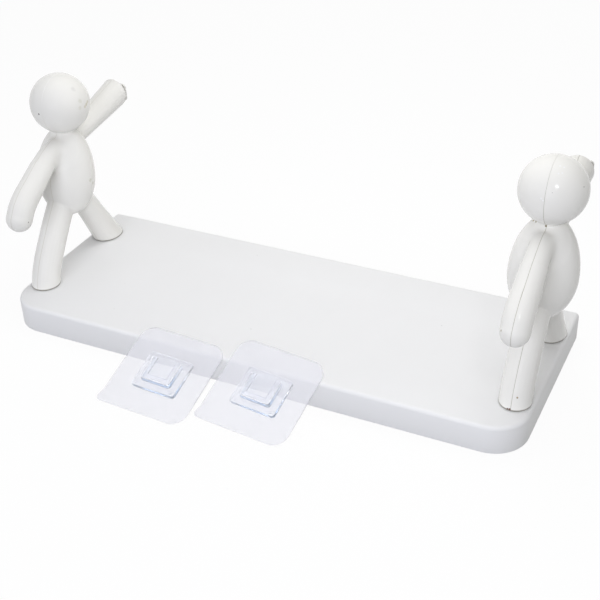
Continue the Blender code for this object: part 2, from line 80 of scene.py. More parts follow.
def metres(name, description, default):
    """A setting that is a length."""
    return FloatProperty(name=name, description=description, default=default, unit="LENGTH")


def spot(name, description, default):
    """A setting that is a place, or three sizes along the axes."""
    return FloatVectorProperty(name=name, description=description, default=default, subtype="XYZ", size=3)


def tint(name, description, default):
    """A setting that is a colour."""
    return FloatVectorProperty(
        name=name, description=description, default=default, subtype="COLOR", size=3, min=0.0, max=1.0)


def slant(name, description, degrees):
    """A setting that is an angle."""
    return FloatProperty(name=name, description=description, default=math.radians(degrees), subtype="ANGLE")


def amount(name, description, default):
    """A setting without a unit."""
    return FloatProperty(name=name, description=description, default=default)


def count(name, description, default, least):
    """A setting that is a whole number."""
    return IntProperty(name=name, description=description, default=default, min=least)


class BoardSettings(bpy.types.PropertyGroup):
    """Sizes of the moulded tray."""
    length: metres("Length", "Along the wall", BOARD_HIGH[0] - BOARD_LOW[0])
    depth: metres("Depth", "Out from the wall", BOARD_HIGH[1] - BOARD_LOW[1])
    height: metres("Height", "From the table to the top", BOARD_HIGH[2] - BOARD_LOW[2])
    front_radius: metres("Front Corners", "Radius of the front corners", 0.0225)
    back_radius: metres("Back Corners", "Radius of the back corners", 0.0031)
    edge_fillet: metres("Edge Fillet", "Rounding of the top edge", 0.0025)
    foot_bevel: metres("Foot Bevel", "Bevel of the skirt's lower edge", 0.0004)
    wall: metres("Wall", "Thickness of the skirt and the top", 0.0025)
    rib_width: metres("Rib Width", "Thickness of the ribs below", 0.0016)
    rib_bays: count("Rib Bays", "Spaces between the ribs along the tray", 4, 1)
    boss_radius: metres("Boss Radius", "Radius of the screw bosses", 0.0055)
    boss_low: metres("Boss Low", "Height of the bosses' lower ends", 0.009)
    boss_bevel: metres("Boss Bevel", "Bevel of the bosses' ends", 0.0004)
    bore_radius: metres("Bore Radius", "Radius of the screw holes", 0.0020)


class FigureSettings(bpy.types.PropertyGroup):
    """Sizes of a figure, in its own frame: the foot plane is Z 0 and the parting plane is X 0."""
    left_gap: metres("Left Gap", "Gap between the left figure's half shells", 0.00004)
    right_gap: metres("Right Gap", "Gap between the right figure's half shells", 0.00010)
    seat: metres("Seat", "Height of the foot plane over the board", 0.0003)
    head_radius: metres("Head Radius", "Radius of the ball head", 0.0201)
    head_place: spot("Head Place", "Centre of the head", (0.0, 0.0065, 0.1169))
    torso_place: spot("Torso Place", "Centre of the torso's widest ring", (0.0, 0.0010, 0.0651))
    torso_size: spot(
        "Torso Size", "Half width, half depth and length above the widest ring", (0.0208, 0.0179, 0.0360))
    torso_below: metres("Torso Below", "Length below the widest ring", 0.0280)
    torso_lean: slant("Torso Lean", "Lean of the torso to the wall", 10.6)
    hand_plane: metres("Hand Plane", "Where the raised hand is cut flat", 0.0682)
    voxel: metres("Voxel", "Grid that blends the body's forms", 0.0006)
    root_place: spot("Root Place", "Where the front arm grows from the torso", (0.0, -0.0100, 0.0915))
    root_reach: metres("Root Reach", "How far the arm's root is blended", 0.0175)
    root_passes: count("Root Passes", "Smoothing of the arm's root", 110, 0)
    blend_passes: count("Blend Passes", "Smoothing of the creases between the forms", 6, 0)
    head_margin: metres("Head Margin", "How far from the head the arm's root is blended", 0.0012)
    key_width: metres("Key Width", "Width of the T key", 0.0178)
    key_height: metres("Key Height", "Height of the T key", 0.0125)
    key_thickness: metres("Key Thickness", "Thickness of the T key", 0.0016)
    key_corner: metres("Key Corner", "Radius of the T key's corners", 0.0025)
    key_bevel: metres("Key Bevel", "Bevel of the T key's edges", 0.0003)
    key_stem: metres("Key Stem", "Length of the stem behind the key", 0.0016)
    stem_width: metres("Stem Width", "Width of the stem behind the key", 0.0100)
    key_middle: metres("Key Middle", "Height of the key's centre", 0.1006)


class PadSettings(bpy.types.PropertyGroup):
    """Sizes of a stick-on pad, in its own frame: the film's underside is Z 0 and its lower edge is Y 0."""
    size: metres("Size", "Side of the square film", 0.0615)
    corner_radius: metres("Corner Radius", "Radius of three corners", 0.0100)
    tab_radius: metres("Tab Radius", "Radius of the peel tab's corner", 0.0026)
    tab_flare: metres("Tab Flare", "How far the peel tab stands out", 0.0012)
    tab_length: metres("Tab Length", "Where the flare ends", 0.0080)
    film: metres("Film", "Thickness of the film", 0.0005)
    laminate_gap: metres("Laminate Gap", "Gap between the layers", 0.00015)
    block_size: spot("Block Size", "Width, height and thickness of its base", (0.0315, 0.0265, 0.0024))
    block_place: spot("Block Place", "Centre of the block on the pad", (0.0010, 0.0295, 0.0))
    pocket_size: spot("Pocket Size", "Inside width, height and depth of the pocket", (0.0188, 0.0155, 0.0022))
    pocket_shift: metres("Pocket Shift", "Pocket's place below the block's centre", 0.0003)
    pocket_wall: metres("Pocket Wall", "Thickness of the pocket's walls", 0.0015)
    pocket_lip: metres("Pocket Lip", "How far the lips reach over the pocket", 0.0025)
    lip_thickness: metres("Lip Thickness", "Thickness of the lips", 0.0012)
    block_bevel: metres("Block Bevel", "Bevel of the block's edges", 0.0005)
    pip_radius: metres("Pip Radius", "Radius of the ejector pips", 0.0010)


class FinishSettings(bpy.types.PropertyGroup):
    """Colours of the finishes, with painted shade on the film's cut edges and a painted reflection in the
    block's lower walls.
    """
    figure: tint("Figure", "Glossy white moulding", (0.82, 0.81, 0.775))
    board: tint("Board", "Satin white moulding", (0.84, 0.84, 0.84))
    film: tint("Film", "Clear film", (0.79, 0.79, 0.84))
    # the film edge colour is painted shade, on the cut edges away from the light
    film_edge_shade: tint("Film Edge", "Cut edges of the clear film", (0.26, 0.27, 0.33))
    block: tint("Block", "Clear moulding", (0.96, 0.97, 1.0))
    block_wall: tint("Block Wall", "Walls of the clear moulding", (0.86, 0.90, 0.96))
    # painted reflection of darker surroundings in the block's lower walls
    block_near: tint("Block Near Wall", "Lower walls of the clear moulding", (0.42, 0.58, 0.82))
    steel: tint("Steel", "Plated screws", (0.62, 0.62, 0.63))


class StageSettings(bpy.types.PropertyGroup):
    """Camera and lights."""
    camera_place: spot("Camera Place", "Where the camera stands", (0.2912, -0.5545, 0.4284))
    azimuth: slant("Azimuth", "Camera's turn round the shelf", 26.8771)
    elevation: slant("Elevation", "Camera's height over the horizon", 32.8637)
    roll: slant("Roll", "Camera's roll", -2.2307)
    lens: amount("Lens", "Focal length in millimetres", 67.228)
    floor_size: metres("Floor Size", "Side of the floor", 6.0)
    floor_bounce: amount("Floor Bounce", "Share of light that the floor throws back", 0.30)
    floor_glow: amount("Floor Glow", "Share of plain white in the floor that is seen", 0.94)
    over_power: amount("Over Power", "Power of the softbox overhead in watts", 3.7)
    front_power: amount("Front Power", "Power of the softbox in front in watts", 7.4)
    left_power: amount("Left Power", "Power of the softbox at the left in watts", 0.7)
    front_tint: tint("Front Tint", "Cool colour of the softbox in front", (0.89, 0.91, 1.0))
    middle_power: amount("Middle Power", "Power of the lamp over the shelf's middle in watts", 0.26)
    spark_power: amount("Spark Power", "Power of the small lamp by the right figure in watts", 0.10)
    sky: amount("Sky", "Strength of the studio's own light", 0.18)
    side_sky: amount("Side Sky", "Strength of that light from either side", 0.92)
    clear_layers: count("Clear Layers", "Clear surfaces that a ray may pass", 40, 8)


def leave_edit_mode():
    if bpy.context.mode != "OBJECT":
        bpy.ops.object.mode_set(mode="OBJECT")


def deselect_all():
    leave_edit_mode()
    bpy.ops.object.select_all(action="DESELECT")


def take(piece, *others):
    """Select a piece, and others with it, and make the piece active."""
    deselect_all()
    for other in (piece, *others):
        other.select_set(True)
    bpy.context.view_layer.objects.active = piece


def edit(piece):
    take(piece)
    bpy.ops.object.mode_set(mode="EDIT")


def edit_all(piece):
    edit(piece)
    bpy.ops.mesh.select_all(action="SELECT")


def added(name, operator, **values):
    """The new object of an operator that adds one."""
    deselect_all()
    operator(**values)
    made = bpy.context.active_object
    made.name = name
    return made


def pick(piece, kind, test):
    """In edit mode, select the points, edges or faces that pass a test."""
    bpy.context.tool_settings.mesh_select_mode = (kind == "verts", kind == "edges", kind == "faces")
    construction = bmesh.from_edit_mesh(piece.data)
    for element in construction.faces[:] + construction.edges[:] + construction.verts[:]:
        element.select_set(False)
    for element in getattr(construction, kind):
        if test(element):
            element.select_set(True)
    bmesh.update_edit_mesh(piece.data)


def is_level(edge):
    """Whether an edge lies flat."""
    return abs(edge.verts[0].co.z - edge.verts[1].co.z) < LEVEL


def settle(piece):
    """Apply a piece's place to its mesh."""
    take(piece)
    bpy.ops.object.transform_apply(location=True, rotation=True, scale=True)
    return piece


def set_down(piece, place, turn=(0.0, 0.0, 0.0)):
    piece.location = place
    piece.rotation_euler = turn
    return settle(piece)


def use_modifier(piece, kind, **values):
    """Add a modifier, set it and apply it."""
    take(piece)
    bpy.ops.object.modifier_add(type=kind)
    modifier = piece.modifiers[-1]
    for key, value in values.items():
        setattr(modifier, key, value)
    bpy.ops.object.modifier_apply(modifier=modifier.name)


def boolean(piece, tool, operation):
    use_modifier(piece, "BOOLEAN", object=tool, operation=operation, solver="EXACT")
    bpy.data.objects.remove(tool, do_unlink=True)
    return piece


def copy_of(piece, name):
    """A copy with its own mesh."""
    take(piece)
    bpy.ops.object.duplicate(linked=False)
    copy = bpy.context.active_object
    copy.name = name
    return copy


def face_outwards(piece):
    edit_all(piece)
    bpy.ops.mesh.remove_doubles(threshold=TOUCHING)
    bpy.ops.mesh.normals_make_consistent(inside=False)
    leave_edit_mode()


def smooth_shade(piece, angle=math.radians(35)):
    take(piece)
    bpy.ops.object.shade_smooth_by_angle(angle=angle)


def finish_piece(piece, material, body, nodes):
    """Give a piece its material and the body it rides on, and hide the CAD nodes that it stands for."""
    piece.data.materials.clear()
    piece.data.materials.append(material)
    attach(piece, body)
    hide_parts(*nodes)


def rounded_slab(name, width, depth, radii, low, high, fillet=0.0, foot=0.0, corner_segments=CORNER_STEPS):
    """A slab with its own radius at each corner, from the front left round, and rounded edges."""
    slab = added(name, bpy.ops.mesh.primitive_plane_add, size=1.0)
    edit_all(slab)
    bpy.ops.transform.resize(value=(width, depth, 1.0))
    bpy.ops.transform.translate(value=(0.0, 0.0, low))
    for (side_x, side_y), radius in zip(CORNERS, radii):
        corner = Vector((side_x * width / 2, side_y * depth / 2, low))
        pick(slab, "verts", lambda point: (point.co - corner).length < TOUCHING)
        bpy.ops.mesh.bevel(offset=radius, segments=corner_segments, affect="VERTICES")
    bpy.ops.mesh.select_all(action="SELECT")
    bpy.ops.mesh.extrude_region_move(TRANSFORM_OT_translate={"value": (0.0, 0.0, high - low)})
    bpy.ops.mesh.select_all(action="SELECT")
    bpy.ops.mesh.normals_make_consistent(inside=False)
    for height, rounding, segments in ((high, fillet, FILLET_STEPS), (low, foot, BEVEL_STEPS)):
        if rounding > 0:
            pick(slab, "edges", lambda edge: all(abs(end.co.z - height) < LEVEL for end in edge.verts))
            bpy.ops.mesh.bevel(offset=rounding, segments=segments, affect="EDGES")
    leave_edit_mode()
    return slab


def block(name, low, high, bevel=0.0):
    """A block between two corners with bevelled edges."""
    middle = [(bottom + top) / 2 for bottom, top in zip(low, high)]
    made = added(name, bpy.ops.mesh.primitive_cube_add, size=1.0, location=middle)
    made.scale = [top - bottom for bottom, top in zip(low, high)]
    settle(made)
    if bevel > 0:
        edit_all(made)
        bpy.ops.mesh.bevel(offset=bevel, segments=BEVEL_STEPS, affect="EDGES")
        leave_edit_mode()
    return made


def round_bar(name, radius, place, low, high, bevel=0.0):
    """An upright round bar with bevelled ends."""
    bar = settle(added(
        name, bpy.ops.mesh.primitive_cylinder_add, vertices=BAR_SIDES, radius=radius, depth=high - low,
        location=(*place, (low + high) / 2)))
    if bevel > 0:
        edit(bar)
        pick(bar, "edges", is_level)
        bpy.ops.mesh.bevel(offset=bevel, segments=BEVEL_STEPS, affect="EDGES")
        leave_edit_mode()
    return bar


# the colour sockets of a Mix node
MIX_FIRST = 6
MIX_SECOND = 7
MIX_RESULT = 2
# the grain's height, the noise that bites into a scuff, and the pointiness of the hollows that get painted
# shade
GRAIN_HEIGHT = 0.0004
BITE_SCALE = 2200.0
BITE_START = 0.2
SCUFF_SHARPNESS = 3.0
HOLLOWS = (0.475, 0.435)
# white moulding: roughness, and how far the slow unevenness and the specks shade its colour
BOARD_ROUGH = (0.42, 0.50)
FIGURE_ROUGH = (0.15, 0.21)
CLOUD_SHADES = (0.985, 1.012)
SPECK_SHADE = 0.45
# painted crease shade: how strong it is, its olive colour, and the plane behind which there is none
CREASE_STRENGTH = 0.8
CREASE_TINT = (0.34, 0.30, 0.21)
CREASE_BACK = 0.062
# the colour of the painted shade where the feet meet the board
FOOT_SHADE_TINT = (0.16, 0.145, 0.10)
# the heights between which a parting line goes from its first strength to its second
SEAM_FADE = (0.122, 0.150)
# the sides where a pad's cut edges get painted shade and the block's lower walls a painted reflection, the
# left one's share, and how far out they show in full
FAR_SIDE = (0.62, 0.78, 0.0)
LEFT_SIDE = (-1.0, 0.06, 0.0)
LEFT_SHARE = 0.45
NEAR_SIDE = (0.17, -0.98, 0.0)
SIDE_FADE = 0.010
# each clear sheet's alpha on its faces and along its edges, and its roughness
SHEETS = {
    "clear_film": ((0.26, 0.85), 0.12),
    "clear_glue": ((0.06, 0.20), 0.30),
    "pale_liner": ((0.09, 0.30), 0.40),
}
SHEET_UNEVENNESS = (0.8, 1.2)
# the share of a clear piece's alpha that stops light
CLEAR_SHADOW = 0.08
BLOCK_ROUGH = (0.02, 0.06)
BLOCK_ALPHA = (0.74, 0.88)
BLOCK_IOR = 1.49
STEEL_ROUGH = (0.26, 0.42)
STEEL_SHADE = 0.8
# the rays that show a surface as it is seen
SEEN = ("Is Camera Ray", "Is Glossy Ray", "Is Transmission Ray")


def new_material(name, colour, roughness):
    """A material with its Principled shader."""
    material = bpy.data.materials.new(name)
    material.use_nodes = True
    shader = material.node_tree.nodes["Principled BSDF"]
    shader.inputs["Base Color"].default_value = (*colour, 1.0)
    shader.inputs["Roughness"].default_value = roughness
    return material, material.node_tree, shader


def feed(tree, socket, value):
    """Link a socket to another node's socket, or set it to a plain value."""
    if isinstance(value, bpy.types.NodeSocket):
        tree.links.new(value, socket)
    else:
        socket.default_value = value


def add_node(tree, kind, **values):
    """A node with its inputs and settings by name, where an underscore stands for a space."""
    made = tree.nodes.new("ShaderNode" + kind)
    for key, value in values.items():
        socket = made.inputs.get(key.replace("_", " "))
        if socket is None:
            setattr(made, key, value)
        else:
            feed(tree, socket, value)
    return made


def maths(tree, operation, first, second=0.0, clamp=False):
    """A Math node's answer from two values or sockets."""
    made = add_node(tree, "Math", operation=operation, use_clamp=clamp)
    feed(tree, made.inputs[0], first)
    feed(tree, made.inputs[1], second)
    return made.outputs[0]


def vector_maths(tree, operation, first, second):
    """A Vector Math node's answers, Vector and Value."""
    made = add_node(tree, "VectorMath", operation=operation)
    feed(tree, made.inputs[0], first)
    feed(tree, made.inputs[1], second)
    return made.outputs


def ranged(tree, value, low, high, start=0.0, end=1.0):
    """A value that goes from low to high while the given one goes from start to end."""
    ramp = add_node(tree, "MapRange", Value=value, From_Min=start, From_Max=end, To_Min=low, To_Max=high)
    return ramp.outputs["Result"]


def mixed(tree, mask, first, second):
    """A colour mixed by a mask; either colour may be a value or a socket."""
    mix = add_node(tree, "Mix", data_type="RGBA", Factor=mask)
    for number, colour in ((MIX_FIRST, first), (MIX_SECOND, second)):
        plain = not isinstance(colour, bpy.types.NodeSocket)
        feed(tree, mix.inputs[number], (*colour, 1.0) if plain else colour)
    return mix.outputs[MIX_RESULT]


def object_place(tree):
    return add_node(tree, "TexCoord").outputs["Object"]


def object_axes(tree):
    return add_node(tree, "SeparateXYZ", Vector=object_place(tree)).outputs


def seen_ray(tree, *kinds):
    """1 where the ray is of one of these kinds."""
    path = add_node(tree, "LightPath").outputs
    found = path[kinds[0]]
    for kind in kinds[1:]:
        found = maths(tree, "MAXIMUM", found, path[kind])
    return found


def shaded(colour, share):
    return [channel * share for channel in colour]


def mould_grain(tree, given):
    """Mould grain: a normal from fine noise, and a slow mask for roughness and colour."""
    where = object_place(tree)
    fine = add_node(tree, "TexNoise", Vector=where, Scale=given["Grain Scale"], Detail=3.0)
    slow = add_node(tree, "TexNoise", Vector=where, Scale=given["Cloud Scale"], Detail=4.0, Roughness=0.6)
    bump = add_node(
        tree, "Bump", Distance=GRAIN_HEIGHT, Strength=given["Grain Depth"], Height=fine.outputs["Fac"])
    return bump.outputs["Normal"], slow.outputs["Fac"]


def dust_specks(tree, given):
    """Scattered tiny specks, as a mask."""
    cells = add_node(tree, "TexVoronoi", Vector=object_place(tree), Scale=given["Spread"])
    return [maths(tree, "LESS_THAN", cells.outputs["Distance"], given["Speck Size"])]


def scuff_mark(tree, given):
    """One scuff, spot of painted shade or spot of painted reflection round a place, broken up by noise, as a
    mask.
    """
    where = object_place(tree)
    apart = vector_maths(tree, "DISTANCE", where, given["Place"])["Value"]
    fade = maths(tree, "SUBTRACT", 1.0, maths(tree, "DIVIDE", apart, given["Reach"]), clamp=True)
    noise = add_node(tree, "TexNoise", Vector=where, Scale=BITE_SCALE, Detail=2.0)
    bite = maths(tree, "SUBTRACT", noise.outputs["Fac"], BITE_START)
    bitten = maths(tree, "MULTIPLY", bite, given["Break Up"])
    left = maths(tree, "SUBTRACT", fade, bitten, clamp=True)
    return [maths(tree, "MULTIPLY", left, SCUFF_SHARPNESS, clamp=True)]


def cut_edges(tree, given):
    """Walls of a sheet, where a face turns from the sheet's own normal, and its walls to one side."""
    face = add_node(tree, "NewGeometry").outputs["Normal"]
    facing = vector_maths(tree, "DOT_PRODUCT", face, given["Sheet Normal"])["Value"]
    walls = maths(tree, "SUBTRACT", 1.0, maths(tree, "ABSOLUTE", facing), clamp=True)
    apart = vector_maths(tree, "SUBTRACT", object_place(tree), given["Middle"])["Vector"]
    along = vector_maths(tree, "DOT_PRODUCT", apart, given["Side"])["Value"]
    beyond = ranged(tree, along, 0.0, 1.0, end=SIDE_FADE)
    return walls, maths(tree, "MULTIPLY", beyond, walls, clamp=True)


def parting_line(tree, given):
    """A fine line where two halves meet on a plane of constant X, with its own strength low and high."""
    axes = object_axes(tree)
    apart = maths(tree, "ABSOLUTE", maths(tree, "SUBTRACT", axes["X"], given["Middle"]))
    near = maths(tree, "SUBTRACT", 1.0, maths(tree, "DIVIDE", apart, given["Reach"]), clamp=True)
    strength = ranged(
        tree, axes["Z"], given["Strength Low"], given["Strength High"], given["Low"], given["High"])
    return [maths(tree, "MULTIPLY", near, strength)]


def crease_grime(tree, given):
    """Painted shade in hollow creases in front of a plane, as a mask."""
    before = maths(tree, "LESS_THAN", object_axes(tree)["Y"], given["Behind"])
    pointiness = add_node(tree, "NewGeometry").outputs["Pointiness"]
    hollow = ranged(tree, pointiness, 0.0, given["Strength"], *HOLLOWS)
    return [maths(tree, "MULTIPLY", hollow, before)]


def foot_line(tree, given):
    """Painted shade: a dark line just over the plane that the feet stand on, as a mask."""
    above = maths(tree, "SUBTRACT", object_axes(tree)["Z"], given["Foot"])
    return [ranged(tree, above, given["Strength"], 0.0, given["Low"], given["High"])]


# each shared effect: what builds it, its inputs with their defaults, and its outputs
EFFECTS = {
    "mould_grain": (
        mould_grain, {"Grain Scale": 1500.0, "Grain Depth": 0.03, "Cloud Scale": 24.0}, ("Normal", "Cloud")),
    "dust_specks": (dust_specks, {"Spread": 60.0, "Speck Size": 0.02}, ("Mask",)),
    "scuff_mark": (scuff_mark, {"Place": None, "Reach": 0.002, "Break Up": 0.5}, ("Mask",)),
    "cut_edges": (cut_edges, {"Sheet Normal": None, "Middle": None, "Side": None}, ("Mask", "Side Mask")),
    "parting_line": (
        parting_line,
        {"Middle": 0.0, "Reach": 0.0003, "Low": 0.0, "High": 1.0, "Strength Low": 1.0, "Strength High": 1.0},
        ("Mask",)),
    "crease_grime": (crease_grime, {"Strength": 0.6, "Behind": 0.0}, ("Mask",)),
    "foot_line": (foot_line, {"Foot": 0.0, "Low": 0.0006, "High": 0.0012, "Strength": 0.85}, ("Mask",)),
}


def shared_effect(name):
    """An effect's node group, built once. An input without a default is a vector, and so is a normal."""
    found = bpy.data.node_groups.get(name)
    if found:
        return found
    build, inputs, outputs = EFFECTS[name]
    group = bpy.data.node_groups.new(name, "ShaderNodeTree")
    for label, default in inputs.items():
        kind = "NodeSocketVector" if default is None else "NodeSocketFloat"
        socket = group.interface.new_socket(name=label, in_out="INPUT", socket_type=kind)
        if default is not None:
            socket.default_value = default
    for label in outputs:
        kind = "NodeSocketVector" if label == "Normal" else "NodeSocketFloat"
        group.interface.new_socket(name=label, in_out="OUTPUT", socket_type=kind)
    given = group.nodes.new("NodeGroupInput").outputs
    out = group.nodes.new("NodeGroupOutput").inputs
    for label, value in zip(outputs, build(group, given)):
        feed(group, out[label], value)
    return group


def placed(tree, name, **values):
    """The outputs of a shared effect, placed in a material with its own values."""
    made = tree.nodes.new("ShaderNodeGroup")
    made.node_tree = shared_effect(name)
    for key, value in values.items():
        made.inputs[key.replace("_", " ")].default_value = value
    return made.outputs


def surface(tree, shader, tone, rough, grain):
    """Give a shader its colour, its uneven roughness and its grain."""
    feed(tree, shader.inputs["Base Color"], tone)
    feed(tree, shader.inputs["Roughness"], ranged(tree, grain["Cloud"], rough[0], rough[1]))
    feed(tree, shader.inputs["Normal"], grain["Normal"])


def white_moulding(name, colour, rough, marks, seams_and_painted_light=None):
    """White moulded plastic with mould grain, a slow unevenness, specks, its parting line and scuffs, painted
    shade in its creases, round its feet and at some marks, a painted highlight along one seam and painted
    reflections.
    """
    material, tree, shader = new_material(name, colour, rough[0])
    grain = placed(tree, "mould_grain")
    specks = placed(tree, "dust_specks", Spread=70.0, Speck_Size=0.016)
    tone = mixed(tree, grain["Cloud"], shaded(colour, CLOUD_SHADES[0]), shaded(colour, CLOUD_SHADES[1]))
    tone = mixed(tree, specks["Mask"], tone, shaded(colour, SPECK_SHADE))
    if seams_and_painted_light:
        middle, lines = seams_and_painted_light
        # painted shade in the creases, olive tinted
        creases = placed(tree, "crease_grime", Strength=CREASE_STRENGTH, Behind=CREASE_BACK)
        tone = mixed(tree, creases["Mask"], tone, CREASE_TINT)
        # each parting line's colour: a dark seam, and on the left head also a pale painted highlight along
        # the seam's rim
        for shade, low, high in lines:
            line = placed(
                tree, "parting_line", Middle=middle, Low=SEAM_FADE[0], High=SEAM_FADE[1],
                Strength_Low=low, Strength_High=high)
            tone = mixed(tree, line["Mask"], tone, shade)
        # painted shade where the feet meet the board
        foot = placed(tree, "foot_line", Foot=BOARD_HIGH[2])
        tone = mixed(tree, foot["Mask"], tone, FOOT_SHADE_TINT)
    for place, reach, break_up, stain in marks:
        mark = placed(tree, "scuff_mark", Place=place, Reach=reach, Break_Up=break_up)
        tone = mixed(tree, mark["Mask"], tone, stain)
    surface(tree, shader, tone, rough, grain)
    return material


def clear_alpha(tree, shader, alpha):
    """Set a clear piece's alpha, of which light on its way to other pieces meets only a share."""
    share = ranged(tree, seen_ray(tree, "Is Shadow Ray", "Is Diffuse Ray"), 1.0, CLEAR_SHADOW)
    feed(tree, shader.inputs["Alpha"], maths(tree, "MULTIPLY", alpha, share))


def clear_sheet(side, kind, colours, lie):
    """Clear sheet: pale and see-through on its faces, and greyer along its cut edges on the sides away from
    the light, which is painted shade.
    """
    colour, edge_shade = colours
    alpha, roughness = SHEETS[kind]
    material, tree, shader = new_material(side + "_" + kind, colour, roughness)
    grain = placed(tree, "mould_grain", Grain_Depth=0.02, Cloud_Scale=60.0)
    far, left = [
        placed(tree, "cut_edges", Sheet_Normal=lie[0], Middle=lie[1], Side=way)["Side Mask"]
        for way in (FAR_SIDE, LEFT_SIDE)]
    # painted shade on the cut edges away from the light
    shaded_rim = maths(tree, "MAXIMUM", far, ranged(tree, left, 0.0, LEFT_SHARE))
    rough = (roughness * SHEET_UNEVENNESS[0], roughness * SHEET_UNEVENNESS[1])
    surface(tree, shader, mixed(tree, shaded_rim, colour, edge_shade), rough, grain)
    clear_alpha(tree, shader, ranged(tree, shaded_rim, alpha[0], alpha[1]))
    return material


def clear_moulding(name, colours, lie):
    """Clear solid plastic that bends what is seen through it, with a blue cast in its walls and a painted
    dark-blue reflection in its lower walls.
    """
    colour, wall_colour, near_reflection = colours
    material, tree, shader = new_material(name, colour, BLOCK_ROUGH[0])
    shader.inputs["Transmission Weight"].default_value = 1.0
    shader.inputs["IOR"].default_value = BLOCK_IOR
    grain = placed(tree, "mould_grain", Grain_Scale=900.0, Grain_Depth=0.003, Cloud_Scale=160.0)
    edges = placed(tree, "cut_edges", Sheet_Normal=lie[0], Middle=lie[1], Side=NEAR_SIDE)
    walls = mixed(tree, edges["Mask"], colour, wall_colour)
    # the lower walls get a painted dark-blue reflection
    surface(tree, shader, mixed(tree, edges["Side Mask"], walls, near_reflection), BLOCK_ROUGH, grain)
    clear_alpha(tree, shader, ranged(tree, grain["Cloud"], BLOCK_ALPHA[0], BLOCK_ALPHA[1]))
    return material


def steel_finish(colour):
    """Plated steel with a faint unevenness."""
    material, tree, shader = new_material("plated_steel", colour, STEEL_ROUGH[0])
    shader.inputs["Metallic"].default_value = 1.0
    grain = placed(tree, "mould_grain", Grain_Depth=0.08, Cloud_Scale=300.0)
    tone = mixed(tree, grain["Cloud"], shaded(colour, STEEL_SHADE), colour)
    surface(tree, shader, tone, STEEL_ROUGH, grain)
    return material


def tray_cavity(board):
    """The tray's hollow with its ribs left standing, as a cutter."""
    front = board.front_radius - board.wall
    back = board.back_radius - board.wall
    inside_length = board.length - 2 * board.wall
    inside_depth = board.depth - 2 * board.wall
    top = board.height - board.wall
    hollow = rounded_slab(
        "tray_hollow", inside_length, inside_depth, (front, front, back, back), -top, top, board.foot_bevel)
    half = board.rib_width / 2
    spans = [((-board.length, -half), (board.length, half))]
    for bay in range(1, board.rib_bays):
        x = (bay / board.rib_bays - 0.5) * inside_length
        spans.append(((x - half, -board.depth), (x + half, board.depth)))
    for low, high in spans:
        rib = block("rib", (*low, -2 * top), (*high, 2 * top))
        boolean(hollow, rib, "DIFFERENCE")
    return hollow


class SHELF_OT_board(bpy.types.Operator):
    """Model the moulded tray with its ribs and screw bosses"""
    bl_idname = "shelf.board"
    bl_label = "Board"

    def execute(self, context):
        board = context.scene.shelf_board
        colours = context.scene.shelf_finish
        front = board.front_radius
        back = board.back_radius
        tray = rounded_slab(
            "board_moulding", board.length, board.depth, (front, front, back, back),
            0.0, board.height, board.edge_fillet, board.foot_bevel)
        boolean(tray, tray_cavity(board), "DIFFERENCE")
        for name in SCREWS:
            place = screw_place(name)
            root = board.height - board.wall / 2
            boss = round_bar("boss", board.boss_radius, place, board.boss_low, root, board.boss_bevel)
            boolean(tray, boss, "UNION")
        for name in SCREWS:
            bore = round_bar("bore", board.bore_radius, screw_place(name), 0.0, 2 * board.height)
            boolean(tray, bore, "DIFFERENCE")
        face_outwards(tray)
        smooth_shade(tray)
        finish = white_moulding("satin_white", colours.board, BOARD_ROUGH, BOARD_MARKS)
        finish_piece(tray, finish, "shelf", ["shelf_board"])
        return {"FINISHED"}


# places along each limb: Y, Z and radius
LIMB_ROUTES = {
    "front_arm": (
        (-0.0040, 0.0905, 0.0070), (-0.0146, 0.0863, 0.0077), (-0.0329, 0.0754, 0.0084),
        (-0.0484, 0.0649, 0.0088), (-0.0533, 0.0583, 0.0087)),
    "raised_arm": (
        (0.0083, 0.0878, 0.0072), (0.0682, 0.1000, 0.0100), (0.0780, 0.1020, 0.0105)),
    "front_leg": (
        (-0.0083, 0.0494, 0.0094), (-0.0240, 0.0283, 0.0096), (-0.0360, 0.0085, 0.0098),
        (-0.0386, 0.0, 0.0099), (-0.0409, -0.0080, 0.0099)),
    "back_leg": (
        (0.0089, 0.0500, 0.0084), (0.0222, 0.0268, 0.0090), (0.0374, 0.0, 0.0106),
        (0.0419, -0.0080, 0.0110)),
}


def round_limb(name, route):
    """A limb drawn as a smooth curve with its own radius at each place, and made a mesh."""
    limb = added(name, bpy.ops.curve.primitive_bezier_curve_add, radius=1.0)
    limb.data.dimensions = "3D"
    limb.data.resolution_u = LIMB_STEPS
    limb.data.bevel_depth = 1.0
    limb.data.bevel_resolution = LIMB_RINGS
    limb.data.use_fill_caps = True
    limb.data.splines.clear()
    line = limb.data.splines.new("BEZIER")
    line.radius_interpolation = "CARDINAL"
    line.bezier_points.add(len(route) - 1)
    for point, (y, z, radius) in zip(line.bezier_points, route):
        point.co = (0.0, y, z)
        point.radius = radius
        point.handle_left_type = "AUTO"
        point.handle_right_type = "AUTO"
    take(limb)
    bpy.ops.object.convert(target="MESH")
    return bpy.context.active_object


# points this near a ball's widest ring stay where they are
RING_MARGIN = 0.001
# how far a smoothing pass moves a point
SMOOTHING = 0.5


def egg(name, width, depth, below, above):
    """A ball with its own lengths below and above its widest ring."""
    made = added(
        name, bpy.ops.mesh.primitive_uv_sphere_add, segments=BALL_SIDES, ring_count=BALL_RINGS, radius=1.0)
    for sign, length in ((-1, below), (1, above)):
        edit(made)
        pick(made, "verts", lambda point: point.co.z * sign > RING_MARGIN)
        bpy.ops.transform.resize(value=(1.0, 1.0, length), center_override=(0.0, 0.0, 0.0))
        leave_edit_mode()
    edit_all(made)
    bpy.ops.transform.resize(value=(width, depth, 1.0), center_override=(0.0, 0.0, 0.0))
    leave_edit_mode()
    return made


